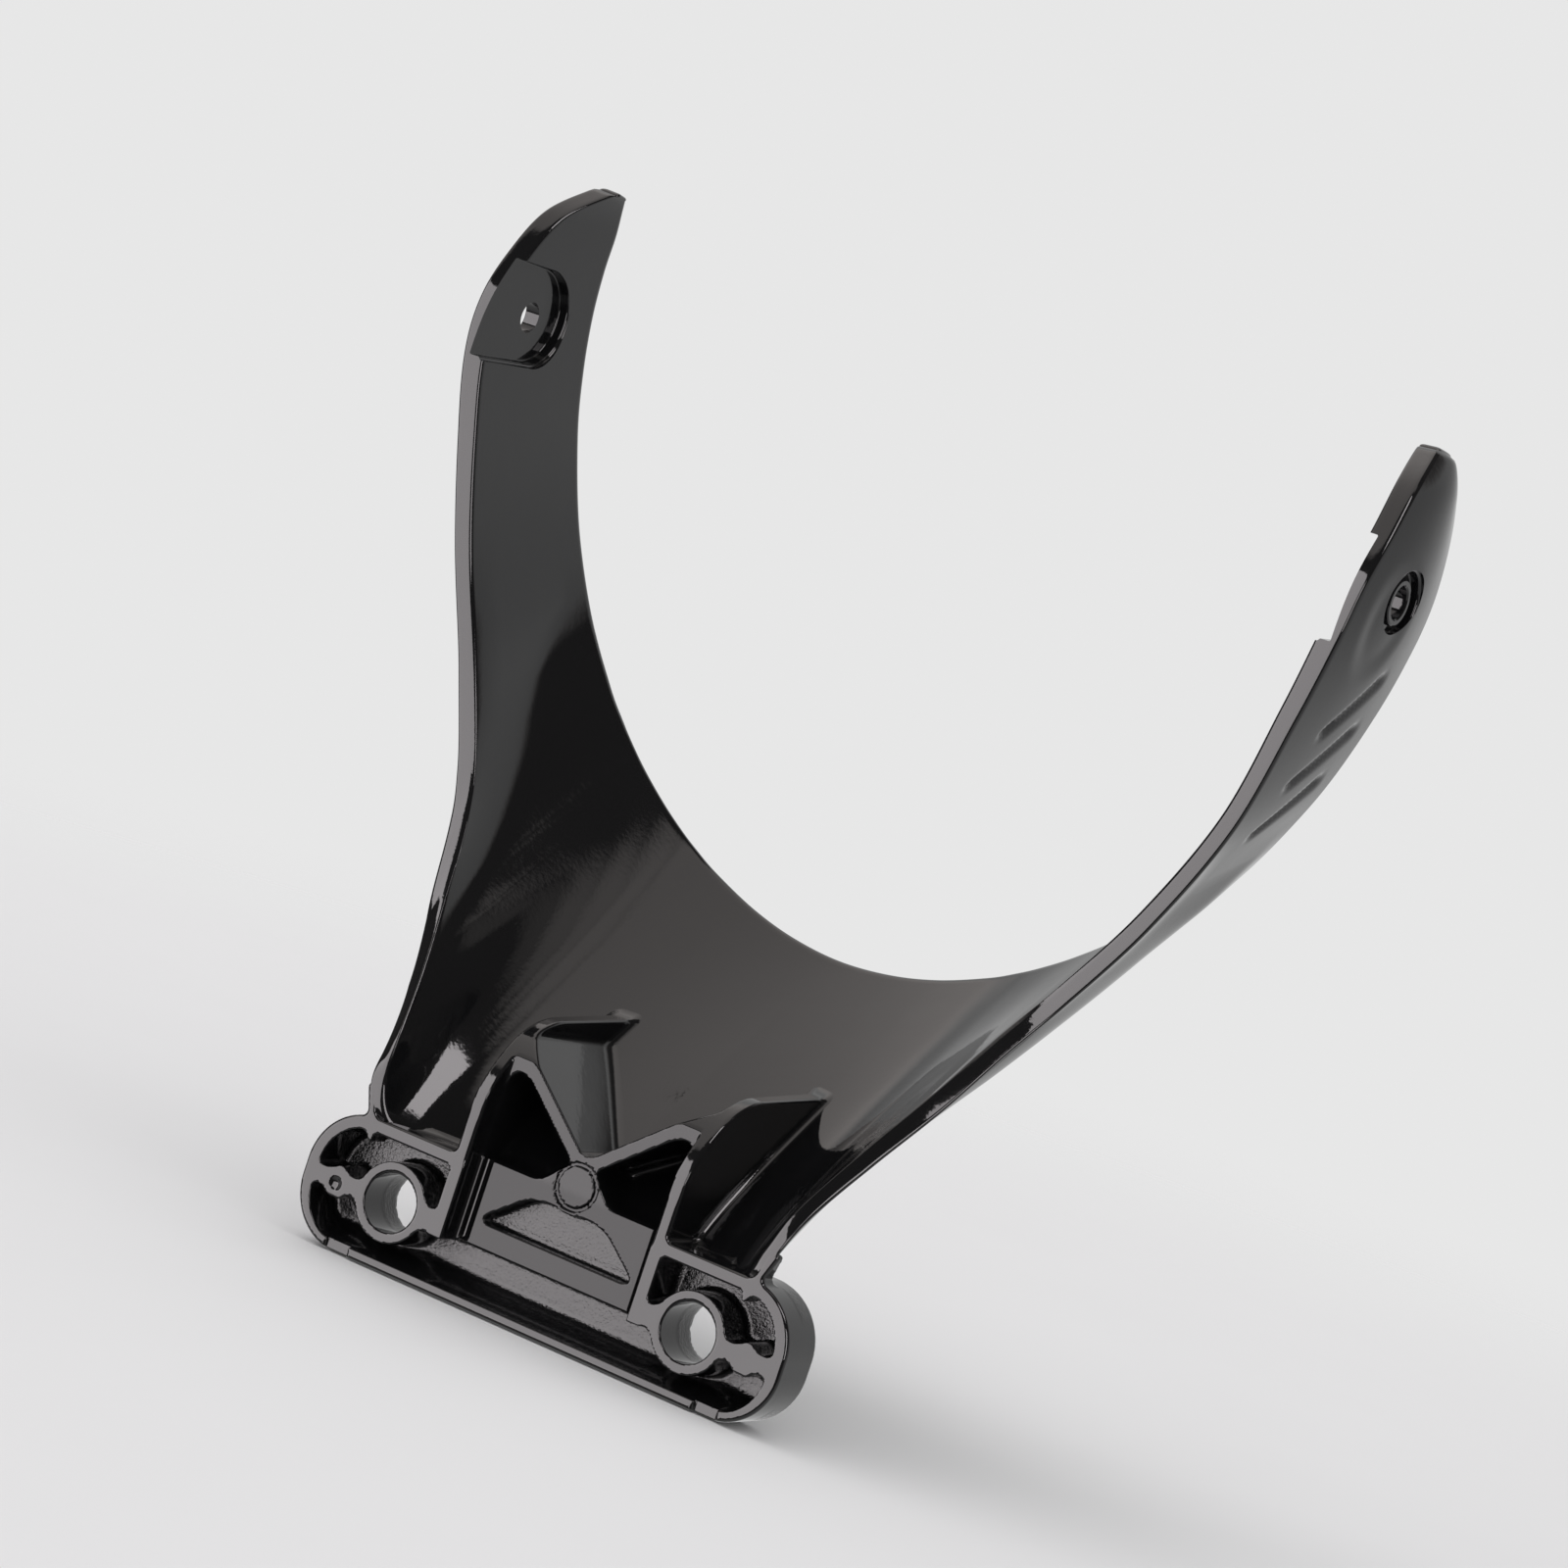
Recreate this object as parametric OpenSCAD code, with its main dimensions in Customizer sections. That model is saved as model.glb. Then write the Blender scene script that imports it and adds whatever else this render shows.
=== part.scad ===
// Headlight mounting bracket: one gloss black casting.
// Bolted face at Y = 0, origin midway between the two bolt holes, +Z towards the arm tips.

/* [Foot] */
// Width of the foot
foot_w = 96; // [90:1:110]
// Height of the foot
foot_h = 23.7; // [22:0.1:28]
// Depth of the foot, from the bolted face to its back
foot_depth = 10.5; // [10:0.5:14]
// Radius of the foot's corners, in percent of its height
foot_corner = 44.3; // [30:0.1:47]
// Wall round the foot
foot_wall = 2.5; // [2:0.1:3.2]
// Thin lower wall of the foot
lower_wall = 1.6; // [1.4:0.1:2.4]
// Floor behind the foot's pockets
foot_floor = 2.6; // [2:0.1:3.5]

/* [Bolts] */
// Distance between the two bolt holes
bolt_spacing = 60; // [56:1:64]
// Diameter of the bolt holes
bolt_d = 10; // [8:0.1:10.4]
// Outer diameter of the ring round a bolt hole
boss_d = 13.7; // [13.2:0.1:15]
// Chamfer at the mouth of a bolt hole
bolt_chamfer = 0.3; // [0.2:0.1:0.6]
// Diameter of the ejector pads beside the bolt holes
pad_d = 5.4; // [4:0.1:6]

/* [Ribs] */
// Thickness of the two upright ribs
rib_t = 2.5; // [2:0.1:3.2]
// Clear width between the upright ribs
rib_gap = 37.4; // [35:0.1:39]
// Height of the ribs' crest above the bolt line
rib_crest = 38.1; // [34:0.1:42]
// Depth of the middle web behind the bolted face
web_recess = 4.4; // [3:0.1:5]
// Thickness of the two slanted struts
strut_t = 2.4; // [2:0.1:3]
// Height of the valley where the struts meet
valley_z = 18.4; // [17.6:0.1:20]
// Diameter of the round pad on the middle web
web_pad_d = 7; // [5:0.1:7.2]

/* [Cradle] */
// Clear width between the arms' inner faces at the lamp pivots
arm_gap = 165.6; // [150:1:180]
// Height of the lamp pivots above the bolt line
pivot_z = 146; // [130:1:160]
// Distance of the lamp pivots in front of the bolted face
pivot_y = 42.9; // [40:0.1:46]
// Height of the bottom of the notch above the bolt line
notch_z = 57.8; // [50:0.5:64]
// Reach of the notch in front of the bolted face
notch_reach = 69; // [60:0.5:78]
// Wall of the scoop
scoop_wall = 3.2; // [2.6:0.1:4]
// Wall of the scoop where an arm leaves the foot
root_wall = 2.4; // [2.2:0.1:3]
// Wall of the arms near the pivots
arm_wall = 4.2; // [3.6:0.1:5]
// Extra thickness in the middle of an arm at the pivot
arm_crown = 1.5; // [0.8:0.1:2]

/* [Pivots] */
// Diameter of the pivot holes
pivot_d = 6.2; // [5:0.1:7]
// Diameter of the bolt head recess outside each arm
head_d = 10.9; // [9:0.1:12]
// Depth of the bolt head recess
head_depth = 1.6; // [1:0.1:2]
// Depth of the flat seat inside each arm
seat_depth = 2.1; // [1.4:0.1:2.4]

/* [Grooves] */
// Diameter of the cutter that makes the grooves outside the arms
groove_w = 4.4; // [3:0.1:6]
// Depth of the grooves
groove_depth = 0.8; // [0.5:0.1:1.2]

/* [Hidden] */
paint = [0.07, 0.07, 0.075];
past = 1;
fine = 64;

foot_top = 12.2;
foot_low = foot_top - foot_h;
foot_x = foot_w / 2;
foot_corner_r = foot_h * foot_corner / 100;
floor_y = foot_depth - foot_floor;
pocket_top = foot_top - 2.4;
pocket_low = foot_low + lower_wall;
pocket_x = foot_x - foot_wall;
bolt_x = bolt_spacing / 2;
rib_in = rib_gap / 2;
rib_out = rib_in + rib_t;
rib_low = -1.8;
rib_front = 22.3;
ring_web = 4;
end_web = 3.2;
pad_x = bolt_x + boss_d / 2 + pad_d / 2 + 1.4;
web_low = -1.85;
web_pad_z = 13.85;
strut_slope = 0.828;
trapezoid_x = 16.3;
trapezoid_low = 2.2;
seat_d = 18.2;
head_x = arm_gap / 2 + arm_wall + arm_crown;
slit_w = 1.6;
dip_w = 4.4;

// Point a share t of the way from a to b
function between(a, b, t) = a + (b - a) * t;

// Points of a quadratic Bezier curve through a and c, pulled towards b
function bezier(a, b, c, n) = [for (i = [0:n]) let (t = i / n)
    a * (1 - t) * (1 - t) + b * 2 * t * (1 - t) + c * t * t];

// Points of a polygon with each corner [x, y, r] cut by an arc of radius r
function rounded(corners) = [for (i = [0:len(corners) - 1])
    let (n = len(corners), q = corners[i], p = [q[0], q[1]],
         a = corners[(i + n - 1) % n], b = corners[(i + 1) % n],
         u = unit([a[0], a[1]] - p), w = unit([b[0], b[1]] - p),
         half = acos(u * w) / 2, m = unit(u + w),
         c = p + m * q[2] / sin(half), sweep = 90 - half,
         side = u[0] * w[1] - u[1] * w[0] > 0 ? 1 : -1,
         steps = q[2] > 3 ? 10 : 5)
    each q[2] > 0
        ? [for (k = [0:steps]) c - turned(m, side * between(sweep, -sweep, k / steps)) * q[2]]
        : [p]];
function unit(v) = v / norm(v);
function turned(v, a) = [v[0] * cos(a) - v[1] * sin(a), v[0] * sin(a) + v[1] * cos(a)];

// Stands a flat outline on the bolted face, from depth a to depth b
module through_y(a, b) {
    rotate([90, 0, 0]) translate([0, 0, -b]) linear_extrude(b - a) children();
}

// Copies a shape to both sides of the plane X = 0
module both_sides() {
    children();
    mirror([1, 0, 0]) children();
}

// Cradle stations from the middle of the scoop to an arm's tip, in percent:
// rear edge across, forward and up, then the height of the facing point on the notch edge
root_x = foot_x - foot_corner_r - 0.6;
root_z = foot_top - 1;
arm_x = arm_gap / 2;
stations = [
    [-100, 13, 0, 0],
    [-72, 13, 0, 1],
    [-44, 13, 0, 3.5],
    [-20, 8.5, 0, 7.5],
    [-5, 2.5, 0, 10.5],
    [3, 0.2, 4.5, 13],
    [7.4, 4.3, 10, 16.5],
    [16.1, 15, 18.3, 21],
    [26.4, 25.5, 26.8, 25],
    [36.6, 35.7, 35.9, 29.5],
    [47.5, 42.5, 43.6, 35],
    [65.1, 46.8, 55.2, 47],
    [82.4, 46.7, 69.2, 63],
    [93, 42.9, 83.7, 80.5],
    [98.5, 41, 93.4, 93],
    [100.4, 42.5, 100.7, 104],
    [100.4, 48.6, 107.4, 113.5],
    [98.3, 56.5, 113.6, 121],
    [93.7, 68.1, 118, 126.5],
    [92.6, 71.5, 118.6, 128]
];
last = len(stations) - 1;
steps_between = 3;
rows = last * steps_between;
columns = 7;
notch_curve = 1.9;

// Rear edge of the inner face at station i
function rear_point(i) = let (s = stations[i])
    [s[0] < 0 ? root_x * (1 + s[0] / 100) : between(root_x, arm_x, s[0] / 100),
     notch_reach * s[1] / 100,
     between(root_z, pivot_z, s[2] / 100)];

// Notch edge of the inner face at a height h percent above the notch bottom
function notch_point(h) = let (rise = (pivot_z - notch_z) * 1.07,
    z = (pivot_z - notch_z) * h / 100, w = z / (pivot_z - notch_z) / 1.2,
    below = max(0, 1 - z / rise), above = max(0, z / rise - 1))
    [arm_x * pow(1 - pow(below, notch_curve), 1 / notch_curve) * sqrt(1 - pow(above * rise / 75, 2)),
     notch_reach - 6.5 * w - 5 * pow(w, 3) - 4 * pow(max(0, h - 118) / 10, 2),
     notch_z + z];

// Smooth curve through a list of points, s counting from the first one
function catmull(a, b, c, d, t) = (b * 2 + (c - a) * t + (a * 2 - b * 5 + c * 4 - d) * t * t
    + (b * 3 - a - c * 3 + d) * t * t * t) / 2;
function mirrored(p) = [-p[0], p[1], p[2]];
function curve_at(list, s) = let (i = min(floor(s), last - 1), t = s - i)
    catmull(i == 0 ? mirrored(list[1]) : list[i - 1], list[i], list[i + 1],
        list[min(i + 2, last)], t);

rear_edge = [for (i = [0:last]) rear_point(i)];
notch_edge = [for (i = [0:last]) notch_point(stations[i][3])];

// Inner face of the cradle, s along the edges and v from the rear edge to the notch
function inner(s, v) = let (a = curve_at(rear_edge, s), b = curve_at(notch_edge, s),
    arch = 2 * max(0, 1 - s / 12) * sin(180 * pow(v, 0.65)))
    between(a, b, v) + [0, -0.6, 0.8] * arch;
function outward(s, v) = let (d = 0.02, s0 = max(0, s - d), v0 = max(0, v - d),
    s1 = min(last, s + d), v1 = min(1, v + d))
    unit(between(unit(cross(inner(s, v1) - inner(s, v0), inner(s1, v) - inner(s0, v))),
        [1, 0, 0.05], smooth(12, 15, s)));
function wall_at(s, v) = between(between(root_wall, scoop_wall, max(smooth(5, 9, s), min(1, 2 * v))),
        arm_wall - 0.4 * v, smooth(11, 14.5, s)) - 0.7 * v * smooth(7, 9, s) * smooth(15, 13, s)
    + arm_crown * smooth(11, 15, s) * smooth(19.5, 17, s) * sin(180 * v);
function smooth(a, b, s) = let (t = min(1, max(0, (s - a) / (b - a)))) t * t * (3 - 2 * t);
function outer(s, v) = inner(s, v) + outward(s, v) * wall_at(s, v);

function grid_row(r, side) = let (s = abs(r) / steps_between)
    [for (c = [0:columns]) let (p = side == 0 ? inner(s, c / columns) : outer(s, c / columns))
        r < 0 ? mirrored(p) : p];

// Scoop and arms, lofted from the rear edge to the notch edge
module cradle() {
    wide = columns + 1;
    long = 2 * rows + 1;
    points = [for (side = [0, 1]) for (r = [-rows:rows]) each grid_row(r, side)];
    half = wide * long;
    faces = [
        for (r = [0:long - 2]) for (c = [0:columns - 1]) let (a = r * wide + c)
            each [[a, a + wide + 1, a + wide], [a, a + 1, a + wide + 1],
                  [half + a, half + a + wide, half + a + wide + 1],
                  [half + a, half + a + wide + 1, half + a + 1]],
        for (r = [0:long - 2]) let (a = r * wide, b = a + columns)
            each [[a, half + a + wide, half + a], [a, a + wide, half + a + wide],
                  [b, half + b, half + b + wide], [b, half + b + wide, b + wide]],
        for (c = [0:columns - 1]) let (a = c, b = (long - 1) * wide + c)
            each [[a, half + a + 1, a + 1], [a, half + a, half + a + 1],
                  [b, b + 1, half + b + 1], [b, half + b + 1, half + b]]
    ];
    polyhedron(points, faces, convexity = 10);
}

// Middle of the scoop's wall as a side view outline, at a share v of its length
function mid_wall(v) = let (p = inner(1, v) + outward(1, v) * scoop_wall * 0.5) [p[1], p[2]];

// Outline of the foot on the bolted face
module foot_outline() {
    polygon(rounded([[-foot_x, foot_low, foot_corner_r], [foot_x, foot_low, foot_corner_r],
        [foot_x, foot_top, foot_corner_r], [-foot_x, foot_top, foot_corner_r]]));
}

// Outline of the hollow inside the foot's walls
module hollow_outline() {
    r = foot_corner_r - foot_wall;
    polygon(rounded([[-pocket_x, pocket_low, r], [pocket_x, pocket_low, r],
        [pocket_x, pocket_top, r], [-pocket_x, pocket_top, r]]));
}

// Ring round one bolt hole, with its webs to the rib and to the end wall
module bolt_ring() {
    through_y(0, floor_y + past) {
        translate([bolt_x, 0]) circle(d = boss_d, $fn = fine);
        translate([rib_in, -ring_web / 2]) square([bolt_x - rib_in, ring_web]);
        translate([bolt_x, -end_web / 2]) square([pocket_x - bolt_x + past, end_web]);
        translate([pad_x, 0]) circle(d = pad_d, $fn = fine);
    }
}

// Bolt hole with a small chamfer at its mouth
module bolt_hole() {
    translate([bolt_x, 0, 0]) rotate([-90, 0, 0]) {
        translate([0, 0, -past]) cylinder(d = bolt_d, h = foot_depth + 2 * past, $fn = fine);
        translate([0, 0, -bolt_chamfer]) cylinder(d1 = bolt_d + 4 * bolt_chamfer, d2 = bolt_d,
            h = 2 * bolt_chamfer, $fn = fine);
    }
}

// Middle web and the two slanted struts that carry the ribs
module web_outline() {
    difference() {
        polygon([[-rib_in, web_low], [rib_in, web_low], [rib_in, valley_z + rib_in * strut_slope],
            [0, valley_z], [-rib_in, valley_z + rib_in * strut_slope]]);
        both_sides() triangle_pocket();
        trapezoid_pocket();
    }
}

// Deep three-sided pocket between a strut, the middle web and a rib
module triangle_pocket() {
    under = valley_z - strut_t * sqrt(1 + strut_slope * strut_slope);
    near = web_pad_d / 2 - 1.2;
    top = between(under, rib_front, 0.86);
    polygon(rounded([[rib_in, foot_top, 0], [rib_in, top - 2, 0.8],
        [rib_in - 1.4, top, 0.8], [(top - under) / strut_slope, top, 1.2],
        [near, under + near * strut_slope, 1.4], [near + 5, foot_top, 0.8]]));
}

// Pocket under the round pad
module trapezoid_pocket() {
    difference() {
        polygon(rounded([[-trapezoid_x, trapezoid_low, 2], [trapezoid_x, trapezoid_low, 2],
            [trapezoid_x - 9.6, pocket_top, 1.2], [9.6 - trapezoid_x, pocket_top, 1.2]]));
        translate([0, web_pad_z]) circle(d = web_pad_d + 2, $fn = fine);
    }
}

// Side view of the ribs: curved crest in front, the scoop's wall behind
module rib_side() {
    intersection() {
        polygon(concat([[-past, foot_low], [0, rib_front]],
            bezier([0, rib_front], [foot_depth / 2, rib_crest - 2.8], [rib_in * 0.91, rib_crest - 1.5], 8),
            [[notch_reach * 0.58, rib_crest + 0.2], [notch_reach, rib_crest + 1], [notch_reach, foot_low]]));
        polygon(concat([[0, foot_low], [foot_depth - 0.5, foot_low]],
            [for (i = [0:10]) mid_wall(i / 10)], [[0, notch_z]]));
    }
}

// Upright ribs, middle web and struts, cut to the ribs' side view
module ribs() {
    intersection() {
        union() {
            both_sides() through_y(0, notch_reach)
                translate([rib_in, rib_low]) square([rib_t, rib_crest + 4 - rib_low]);
            difference() {
                through_y(web_recess, notch_reach) web_outline();
                both_sides() through_y(0, web_recess + 0.9)
                    translate([rib_in - 1.5 * slit_w, web_low + 0.4]) square([slit_w, foot_top + 0.2 - web_low]);
                through_y(0, web_recess + 0.4) translate([0, web_pad_z]) difference() {
                    circle(d = web_pad_d + 1, $fn = fine);
                    circle(d = web_pad_d, $fn = fine);
                }
            }
        }
        rotate([90, 0, 90]) translate([0, 0, -rib_out]) linear_extrude(2 * rib_out) rib_side();
    }
}

// Foot with its hollow, rings and webs
module foot() {
    difference() {
        union() {
            cradle();
            through_y(0, foot_depth) foot_outline();
        }
        through_y(-past, floor_y) hollow_outline();
        through_y(-past, web_recess) translate([-rib_in, web_low]) square([2 * rib_in, foot_h]);
        both_sides() through_y(-past, 0.8)
            translate([bolt_x + bolt_d / 2, foot_low - past]) square([dip_w, lower_wall + 2 * past]);
    }
    both_sides() bolt_ring();
    ribs();
}

// Flat seat inside one arm, open to the arm's rear edge, and the two steps of its pivot hole
module pivot_cut() {
    translate([0, pivot_y, pivot_z]) rotate([0, 90, 0]) {
        cylinder(d = pivot_d, h = head_x + seat_d, $fn = fine);
        translate([0, 0, arm_x - arm_wall]) cylinder(d = seat_d, h = seat_depth + arm_wall, $fn = fine);
        translate([0, 0, head_x - head_depth]) cylinder(d = head_d, h = seat_d, $fn = fine);
    }
    translate([arm_x - arm_wall, pivot_y - seat_d, pivot_z - seat_d / 2])
        cube([seat_depth + arm_wall, seat_d, seat_d]);
}

// Ends of the three grooves as stations and shares of the arm's width, lowest groove first
groove_ends = [[11.79, 0.32, 12.3, 0.725], [12.3, 0.295, 12.85, 0.735], [12.8, 0.315, 13.55, 0.685]];

// Slanted groove across the outside of one arm between the ends g
module groove(g) {
    lift = groove_w / 2 - groove_depth;
    ends = [for (e = [[g[0], g[1]], [g[2], g[3]]]) outer(e[0], e[1]) + outward(e[0], e[1]) * lift];
    way = ends[1] - ends[0];
    translate(ends[0]) rotate([0, acos(way[2] / norm(way)), atan2(way[1], way[0])]) {
        cylinder(d = groove_w, h = norm(way), $fn = 32);
        sphere(d = groove_w, $fn = 32);
        translate([0, 0, norm(way)]) sphere(d = groove_w, $fn = 32);
    }
}

module bracket() {
    color(paint) difference() {
        foot();
        both_sides() {
            for (g = groove_ends) groove(g);
            bolt_hole();
            pivot_cut();
        }
    }
}

bracket();
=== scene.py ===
import bmesh
import bpy
import numpy as np
from mathutils import Matrix, Vector


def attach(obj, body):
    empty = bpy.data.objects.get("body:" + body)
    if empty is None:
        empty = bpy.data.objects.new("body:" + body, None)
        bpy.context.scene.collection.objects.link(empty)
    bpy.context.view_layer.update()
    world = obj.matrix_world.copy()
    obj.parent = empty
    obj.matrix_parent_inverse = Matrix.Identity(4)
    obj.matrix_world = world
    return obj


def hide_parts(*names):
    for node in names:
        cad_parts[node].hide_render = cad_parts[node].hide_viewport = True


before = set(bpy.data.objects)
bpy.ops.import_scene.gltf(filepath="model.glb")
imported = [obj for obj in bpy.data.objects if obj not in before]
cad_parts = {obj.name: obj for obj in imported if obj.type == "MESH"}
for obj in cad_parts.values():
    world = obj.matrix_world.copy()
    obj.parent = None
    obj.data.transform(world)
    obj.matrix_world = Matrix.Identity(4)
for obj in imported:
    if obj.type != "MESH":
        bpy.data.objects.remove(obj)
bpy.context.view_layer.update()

millimetre = 0.001
print("frame loaded")


def makeMesh(name, points, faces, normals=None):
    # a mesh object from an array of points in millimetres and an array of faces
    mesh = bpy.data.meshes.new(name)
    size = faces.shape[1]
    mesh.vertices.add(len(points))
    mesh.vertices.foreach_set("co", (points * millimetre).astype(np.float32).ravel())
    mesh.loops.add(faces.size)
    mesh.loops.foreach_set("vertex_index", faces.astype(np.int32).ravel())
    mesh.polygons.add(len(faces))
    mesh.polygons.foreach_set("loop_start", np.arange(0, faces.size, size, dtype=np.int32))
    mesh.polygons.foreach_set("loop_total", np.full(len(faces), size, np.int32))
    mesh.polygons.foreach_set("use_smooth", np.ones(len(faces), bool))
    mesh.update(calc_edges=True)
    mesh.validate()
    if normals is not None:
        mesh.normals_split_custom_set_from_vertices(normals.astype(np.float32))
    piece = bpy.data.objects.new(name, mesh)
    bpy.context.scene.collection.objects.link(piece)
    return piece


def gridFaces(rows, columns):
    # quads that join each point of a grid to the next row, with the last column meeting the first
    r, c = np.meshgrid(np.arange(rows - 1), np.arange(columns), indexing="ij")
    a, b = r * columns + c, r * columns + (c + 1) % columns
    return np.stack([a, b, b + columns, a + columns], -1).reshape(-1, 4)


def smoothStep(low, high, value):
    # 0 below low, 1 above high, smooth between
    t = np.clip((value - low) / (high - low), 0, 1)
    return t * t * (3 - 2 * t)


def unit(vector):
    return vector / np.linalg.norm(vector, axis=-1, keepdims=True)


# scoop and arms
cradle = {
    "rootX": 36.9, "rootZ": 11.2, "armX": 82.8, "pivotZ": 146.0,
    # notch edge: how round it is, its rise over the pivot's, its lean to the rear, and the turn inwards at the tip
    "notchReach": 69.0, "notchZ": 57.8, "notchCurve": 1.9, "notchRise": 1.07, "notchLean": (6.5, 4.3, 2.5),
    "tipFrom": 11.8, "tipRadius": 75.0, "tipReach": 0.8,
    "scoopWall": 3.2, "rootWall": 2.4, "armWall": 4.2, "armCrown": 2.3, "neckThin": 0.7,
    "rowStep": 0.62, "faceColumns": 46, "arcColumns": 6, "frontRadius": 1.6, "rearRadius": 0.7,
    # how far along the face follows the eased rear edge, and the stations over which that ends
    "easeReach": 1.4, "easeShare": 0.24, "easeEnd": (10.0, 12.5),
    "archHeight": 2.0, "archEnd": 12.0, "archPower": 0.65, "archWay": (0, -0.6, 0.8),
    # how far the outer rear corner stands behind the inner one, as a share of the wall, over station s
    "flareStation": [3.0, 4.2, 5.0, 6.0, 9.3, 11.0, 13.0], "flareShare": [0.0, 0.4, 0.7, 0.78, 0.78, 0.3, 0.12],
    "flareFade": 6.0, "backPlane": 0.04,
    # soft fold where the flat of the arm meets the scoop: its angle, and its share v over station s
    "foldAngle": 0.2, "foldRound": 0.16, "foldWay": (0.82, 0.25, -0.5),
    "foldStart": (6.3, 8.0), "foldEnd": (10.6, 11.8),
    "foldStation": [7.0, 7.7, 8.5, 9.2, 10.0, 10.5, 11.06, 11.3],
    "foldShare": [0.12, 0.22, 0.31, 0.37, 0.43, 0.52, 0.68, 0.80],
    # stations where the arm's normal turns level, its wall thickens, and its crown starts and ends
    "levelTurn": (12, 15), "levelWay": (1, 0, 0.05), "armStart": (11, 14.5),
    "crownStart": (11, 15), "crownEnd": (17, 19.5),
    # percent across, forward and up on the rear edge, then percent up the notch edge
    "stations": [
        (-100, 13, 0, 0), (-72, 13, 0, 1), (-44, 13, 0, 3.5), (-20, 8.5, 0, 7.5), (-5, 2.5, 0, 10.5),
        (3, 0.2, 4.5, 13), (7.4, 4.3, 10, 16.5), (16.1, 15, 18.3, 21), (26.4, 25.5, 26.8, 25),
        (36.6, 35.7, 35.9, 29.5), (47.5, 42.5, 43.6, 35), (65.1, 46.8, 55.2, 47), (82.4, 46.7, 69.2, 63),
        (93, 42.9, 83.7, 80.5), (98.5, 41, 93.4, 93), (100.4, 42.5, 100.7, 104), (100.4, 48.6, 107.4, 113.5),
        (98.3, 56.5, 113.6, 121), (93.7, 68.1, 118, 126.5), (92.6, 71.5, 118.6, 128),
    ],
}
lastStation = len(cradle["stations"]) - 1


def edgeStations():
    # rear and notch edge points of the inner face at each station, in millimetres
    c = cradle
    across, forward, up, notchUp = np.array(c["stations"], float).T / 100
    x = np.where(across < 0, c["rootX"] * (1 + across), c["rootX"] + (c["armX"] - c["rootX"]) * across)
    rear = np.stack([x, c["notchReach"] * forward, c["rootZ"] + (c["pivotZ"] - c["rootZ"]) * up], 1)
    span = c["pivotZ"] - c["notchZ"]
    rise, z = span * c["notchRise"], span * notchUp
    below, above = np.maximum(0, 1 - z / rise), np.maximum(0, z / rise - 1)
    power = c["notchCurve"]
    even, cubed, tip = c["notchLean"]
    w = notchUp / 1.2
    notch = np.stack([
        c["armX"] * (1 - below ** power) ** (1 / power) * np.sqrt(1 - (above * rise / c["tipRadius"]) ** 2),
        c["notchReach"] - even * w - cubed * w ** 3 - tip * np.maximum(0, notchUp * 10 - c["tipFrom"]) ** 2,
        c["notchZ"] + z], 1)
    return rear, notch


rearStations, notchStations = edgeStations()


def curveAt(points, s):
    # cubic curve through the points, each stretch shaped by its two neighbours
    mirrored = points[1] * [-1, 1, 1]
    padded = np.vstack([mirrored, points, points[-1]])
    i = np.minimum(np.floor(s).astype(int), len(points) - 2)
    t = (s - i)[..., None]
    a, b, c, d = padded[i], padded[i + 1], padded[i + 2], padded[i + 3]
    return (2 * b + (c - a) * t + (2 * a - 5 * b + 4 * c - d) * t ** 2 + (3 * b - a - 3 * c + d) * t ** 3) / 2


def innerFace(s, v, easing=1.0):
    """Inner face: a straight blend from the rear edge to the notch edge, plus a low arch that fades up the arm,
    plus a tent whose rounded ridge follows the fold between arm and scoop."""
    c = cradle
    rear, notch = curveAt(rearStations, s), curveAt(notchStations, s)
    # inside the rim the face follows an eased copy of the rear edge, so its corners don't run across the scoop
    eased = 0
    for step in np.linspace(-1, 1, 7) * c["easeReach"]:
        mirror = np.where((s + step < 0)[..., None], [-1.0, 1.0, 1.0], 1.0)
        eased = eased + curveAt(rearStations, np.minimum(np.abs(s + step), lastStation)) * mirror / 7
    ease = (1 - np.clip(1 - v / c["easeShare"], 0, 1) ** 2) * (1 - smoothStep(*c["easeEnd"], s)) * easing
    rear = rear + (eased - rear) * ease[..., None]
    arch = c["archHeight"] * np.maximum(0, 1 - s / c["archEnd"]) * np.sin(np.pi * np.clip(v, 0, 1) ** c["archPower"])
    share = np.interp(s, c["foldStation"], c["foldShare"])
    up, down = v / share, (1 - v) / (1 - share)
    tent = (up + down - np.hypot(up - down, c["foldRound"] / share)) / 2
    length = np.linalg.norm(notch - rear, axis=-1)
    fold = c["foldAngle"] * length * share * (1 - share) * np.maximum(tent, 0)
    fold = fold * smoothStep(*c["foldStart"], s) * (1 - smoothStep(*c["foldEnd"], s))
    base = rear + (notch - rear) * v[..., None]
    return base + arch[..., None] * np.array(c["archWay"]) + fold[..., None] * np.array(c["foldWay"])


def faceNormal(s, v):
    """Outward normal: the cross product of the face's slopes along v and s, turned level near the tips."""
    c, step = cradle, 0.02
    s0, s1 = np.maximum(0, s - step), np.minimum(lastStation, s + step)
    v0, v1 = np.maximum(0, v - step), np.minimum(1, v + step)
    n = unit(np.cross(innerFace(s, v1, 0) - innerFace(s, v0, 0), innerFace(s1, v, 0) - innerFace(s0, v, 0)))
    return unit(n + (np.array(c["levelWay"]) - n) * smoothStep(*c["levelTurn"], s)[..., None])


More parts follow.
